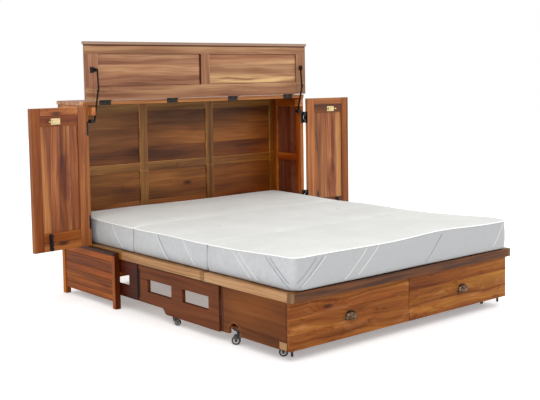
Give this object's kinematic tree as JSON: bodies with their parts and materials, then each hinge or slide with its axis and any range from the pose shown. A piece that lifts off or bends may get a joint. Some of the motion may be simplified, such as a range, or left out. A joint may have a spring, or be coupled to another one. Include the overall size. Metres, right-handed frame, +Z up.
{
  "type": "cabinet bed",
  "caption": "Wooden cabinet bed, shown open: lidded upper cabinet with side wings, low base, folding deck with tri-fold mattress, and a rolling drawer unit on bi-fold gates.",
  "frame": {"origin": "on the floor under the centre of the open bed's bounding box", "axes": "+X to the right across the bed, +Y towards the cabinet's back, +Z up; the foot end points to -Y"},
  "size_m": [2.3322, 2.093, 1.483],
  "materials": {
    "cabinet_wood": "satin oiled acacia-like hardwood with strong grain",
    "interior_wood": "satin, darker, frame and panel",
    "lid_wood": "satin hardwood, lighter underside",
    "wing_wood": "satin hardwood with strong colour bands and knots",
    "deck_wood": "plain sanded light hardwood",
    "gate_wood": "satin, dark",
    "unit_wood": "satin, dark",
    "drawer_wood": "satin orange-brown hardwood",
    "block_wood": "satin orange hardwood",
    "black_metal": "satin black",
    "brass": "pale satin brass",
    "bronze": "antique bronze, rubbed edges",
    "castor_metal": "dark zinc and black",
    "castor_tyre": "dark rubber with a grey hub",
    "mattress_fabric": "quilted off-white ticking with white piping"
  },
  "bodies": {
    "root": {"base_legs": "cabinet_wood", "base_panels": "cabinet_wood", "base_rails": "cabinet_wood", "upper_side_frames": "cabinet_wood", "upper_side_panels": "interior_wood", "back_frame": "interior_wood", "back_panels": "interior_wood", "fixed_top": "cabinet_wood", "stop_blocks": "block_wood", "deck_head_leaf": "deck_wood", "deck_middle_leaf": "deck_wood", "deck_foot_leaf": "deck_wood", "cabinet_hardware": "black_metal", "mattress_head_section": "mattress_fabric"},
    "lid": {"lid_frame": "lid_wood", "lid_panels": "lid_wood", "lid_hardware": "black_metal"},
    "mattress_middle": {"mattress_middle_section": "mattress_fabric"},
    "mattress_foot": {"mattress_foot_section": "mattress_fabric"},
    "drawer_unit": {"unit_carcass": "unit_wood", "unit_blocks": "block_wood", "unit_hardware": "black_metal"},
    "stay_lower_left": {"stay_lower_left": "black_metal"},
    "stay_upper_left": {"stay_upper_left": "black_metal"},
    "wing_left": {"wing_frame_left": "wing_wood", "wing_panel_left": "wing_wood", "wing_hardware_left": "black_metal", "latch_plate_left": "brass"},
    "latch_left": {"latch_bolt_left": "brass"},
    "bolt_left": {"barrel_bolt_left": "black_metal"},
    "gate_rear_left": {"gate_rear_left": "gate_wood"},
    "gate_front_left": {"gate_front_left": "gate_wood"},
    "drawer_left": {"drawer_front_left": "drawer_wood", "drawer_box_left": "unit_wood", "drawer_pull_left": "bronze"},
    "stay_lower_right": {"stay_lower_right": "black_metal"},
    "stay_upper_right": {"stay_upper_right": "black_metal"},
    "wing_right": {"wing_frame_right": "wing_wood", "wing_panel_right": "wing_wood", "wing_hardware_right": "black_metal", "latch_plate_right": "brass"},
    "latch_right": {"latch_bolt_right": "brass"},
    "bolt_right": {"barrel_bolt_right": "black_metal"},
    "gate_rear_right": {"gate_rear_right": "gate_wood"},
    "gate_front_right": {"gate_front_right": "gate_wood"},
    "drawer_right": {"drawer_front_right": "drawer_wood", "drawer_box_right": "unit_wood", "drawer_pull_right": "bronze"},
    "castor_fork_unit_rear_left": {"castor_fork_unit_rear_left": "castor_metal"},
    "castor_wheel_unit_rear_left": {"castor_wheel_unit_rear_left": "castor_tyre"},
    "castor_fork_unit_front_left": {"castor_fork_unit_front_left": "castor_metal"},
    "castor_wheel_unit_front_left": {"castor_wheel_unit_front_left": "castor_tyre"},
    "castor_fork_gate_left": {"castor_fork_gate_left": "castor_metal"},
    "castor_wheel_gate_left": {"castor_wheel_gate_left": "castor_tyre"},
    "castor_fork_unit_rear_right": {"castor_fork_unit_rear_right": "castor_metal"},
    "castor_wheel_unit_rear_right": {"castor_wheel_unit_rear_right": "castor_tyre"},
    "castor_fork_unit_front_right": {"castor_fork_unit_front_right": "castor_metal"},
    "castor_wheel_unit_front_right": {"castor_wheel_unit_front_right": "castor_tyre"},
    "castor_fork_gate_right": {"castor_fork_gate_right": "castor_metal"},
    "castor_wheel_gate_right": {"castor_wheel_gate_right": "castor_tyre"}
  },
  "joints": [
    {"name": "lid_hinge", "type": "hinge", "parent": "root", "child": "lid", "pos_m": [0, 0.7265, 1.148], "axis": [-1, 0, 0], "range_deg": [-90, 0]},
    {"name": "stay_lower_hinge_left", "type": "hinge", "parent": "root", "child": "stay_lower_left", "pos_m": [-0.754, 0.7165, 1.032], "axis": [-1, 0, 0], "range_deg": [-90, 0]},
    {"name": "stay_upper_hinge_left", "type": "hinge", "parent": "lid", "child": "stay_upper_left", "pos_m": [-0.75, 0.6765, 1.323], "axis": [-1, 0, 0], "range_deg": [0, 90]},
    {"name": "stay_lower_hinge_right", "type": "hinge", "parent": "root", "child": "stay_lower_right", "pos_m": [0.754, 0.7165, 1.032], "axis": [-1, 0, 0], "range_deg": [-90, 0]},
    {"name": "stay_upper_hinge_right", "type": "hinge", "parent": "lid", "child": "stay_upper_right", "pos_m": [0.75, 0.6765, 1.323], "axis": [-1, 0, 0], "range_deg": [0, 90]},
    {"name": "wing_hinge_left", "type": "hinge", "parent": "root", "child": "wing_left", "pos_m": [-0.82, 0.7255, 0.723], "axis": [0, 0, -1], "range_deg": [-85, 85]},
    {"name": "latch_slide_left", "type": "slide", "parent": "wing_left", "child": "latch_left", "axis": [-0.9962, -0.0872, 0], "range_m": [0, 0.012]},
    {"name": "barrel_bolt_slide_left", "type": "slide", "parent": "wing_left", "child": "bolt_left", "axis": [0, 0, -1], "range_m": [0, 0.011]},
    {"name": "wing_hinge_right", "type": "hinge", "parent": "root", "child": "wing_right", "pos_m": [0.82, 0.7255, 0.723], "axis": [0, 0, 1], "range_deg": [-85, 85]},
    {"name": "latch_slide_right", "type": "slide", "parent": "wing_right", "child": "latch_right", "axis": [0.9962, -0.0872, 0], "range_m": [0, 0.012]},
    {"name": "barrel_bolt_slide_right", "type": "slide", "parent": "wing_right", "child": "bolt_right", "axis": [0, 0, -1], "range_m": [0, 0.011]},
    {"name": "gate_rear_hinge_left", "type": "hinge", "parent": "root", "child": "gate_rear_left", "pos_m": [-0.764, 1.0065, 0.17], "axis": [0, 0, 1], "range_deg": [0, 88]},
    {"name": "gate_middle_hinge_left", "type": "hinge", "parent": "gate_rear_left", "child": "gate_front_left", "pos_m": [-0.777, 0.2585, 0.17], "axis": [0, 0, 1], "range_deg": [-176, 0]},
    {"name": "gate_front_hinge_left", "type": "hinge", "parent": "gate_front_left", "child": "drawer_unit", "pos_m": [-0.764, -0.4895, 0.17], "axis": [0, 0, 1], "range_deg": [0, 88]},
    {"name": "gate_rear_hinge_right", "type": "hinge", "parent": "root", "child": "gate_rear_right", "pos_m": [0.764, 1.0065, 0.17], "axis": [0, 0, 1], "range_deg": [-88, 0]},
    {"name": "gate_middle_hinge_right", "type": "hinge", "parent": "gate_rear_right", "child": "gate_front_right", "pos_m": [0.777, 0.2585, 0.17], "axis": [0, 0, 1], "range_deg": [0, 176]},
    {"name": "drawer_slide_left", "type": "slide", "parent": "drawer_unit", "child": "drawer_left", "axis": [0, -1, 0], "range_m": [0, 0.35]},
    {"name": "drawer_slide_right", "type": "slide", "parent": "drawer_unit", "child": "drawer_right", "axis": [0, -1, 0], "range_m": [0, 0.35]},
    {"name": "castor_swivel_unit_rear_left", "type": "hinge", "parent": "drawer_unit", "child": "castor_fork_unit_rear_left", "pos_m": [-0.742, -0.6035, 0.05], "axis": [0, 0, 1], "continuous": true},
    {"name": "castor_roll_unit_rear_left", "type": "hinge", "parent": "castor_fork_unit_rear_left", "child": "castor_wheel_unit_rear_left", "pos_m": [-0.75331, -0.59219, 0.022], "axis": [0.7071, 0.7071, 0], "continuous": true},
    {"name": "castor_swivel_unit_front_left", "type": "hinge", "parent": "drawer_unit", "child": "castor_fork_unit_front_left", "pos_m": [-0.702, -0.9135, 0.05], "axis": [0, 0, 1], "continuous": true},
    {"name": "castor_roll_unit_front_left", "type": "hinge", "parent": "castor_fork_unit_front_left", "child": "castor_wheel_unit_front_left", "pos_m": [-0.71331, -0.90219, 0.022], "axis": [0.7071, 0.7071, 0], "continuous": true},
    {"name": "castor_swivel_gate_left", "type": "hinge", "parent": "gate_front_left", "child": "castor_fork_gate_left", "pos_m": [-0.764, -0.0815, 0.05], "axis": [0, 0, 1], "continuous": true},
    {"name": "castor_roll_gate_left", "type": "hinge", "parent": "castor_fork_gate_left", "child": "castor_wheel_gate_left", "pos_m": [-0.75481, -0.09069, 0.017], "axis": [-0.7071, -0.7071, 0], "continuous": true},
    {"name": "castor_swivel_unit_rear_right", "type": "hinge", "parent": "drawer_unit", "child": "castor_fork_unit_rear_right", "pos_m": [0.742, -0.6035, 0.05], "axis": [0, 0, 1], "continuous": true},
    {"name": "castor_roll_unit_rear_right", "type": "hinge", "parent": "castor_fork_unit_rear_right", "child": "castor_wheel_unit_rear_right", "pos_m": [0.75331, -0.59219, 0.022], "axis": [0.7071, -0.7071, 0], "continuous": true},
    {"name": "castor_swivel_unit_front_right", "type": "hinge", "parent": "drawer_unit", "child": "castor_fork_unit_front_right", "pos_m": [0.702, -0.9135, 0.05], "axis": [0, 0, 1], "continuous": true},
    {"name": "castor_roll_unit_front_right", "type": "hinge", "parent": "castor_fork_unit_front_right", "child": "castor_wheel_unit_front_right", "pos_m": [0.71331, -0.90219, 0.022], "axis": [0.7071, -0.7071, 0], "continuous": true},
    {"name": "castor_swivel_gate_right", "type": "hinge", "parent": "gate_front_right", "child": "castor_fork_gate_right", "pos_m": [0.764, -0.0815, 0.05], "axis": [0, 0, 1], "continuous": true},
    {"name": "castor_roll_gate_right", "type": "hinge", "parent": "castor_fork_gate_right", "child": "castor_wheel_gate_right", "pos_m": [0.75481, -0.09069, 0.017], "axis": [-0.7071, 0.7071, 0], "continuous": true},
    {"name": "mattress_middle_fold", "type": "hinge", "parent": "root", "child": "mattress_middle", "pos_m": [0, 0.3245, 0.47], "axis": [-1, 0, 0], "range_deg": [0, 90]},
    {"name": "mattress_foot_fold", "type": "hinge", "parent": "mattress_middle", "child": "mattress_foot", "pos_m": [0, -0.3715, 0.47], "axis": [-1, 0, 0], "range_deg": [0, 178]}
  ],
  "couplings": [
    {"joint": "stay_lower_hinge_left", "follows": "lid_hinge", "ratio": 1},
    {"joint": "stay_upper_hinge_left", "follows": "lid_hinge", "ratio": -1},
    {"joint": "stay_lower_hinge_right", "follows": "lid_hinge", "ratio": 1},
    {"joint": "stay_upper_hinge_right", "follows": "lid_hinge", "ratio": -1},
    {"joint": "gate_middle_hinge_left", "follows": "gate_rear_hinge_left", "ratio": -2},
    {"joint": "gate_front_hinge_left", "follows": "gate_rear_hinge_left", "ratio": 1},
    {"joint": "gate_rear_hinge_right", "follows": "gate_rear_hinge_left", "ratio": -1},
    {"joint": "gate_middle_hinge_right", "follows": "gate_rear_hinge_left", "ratio": 2}
  ]
}
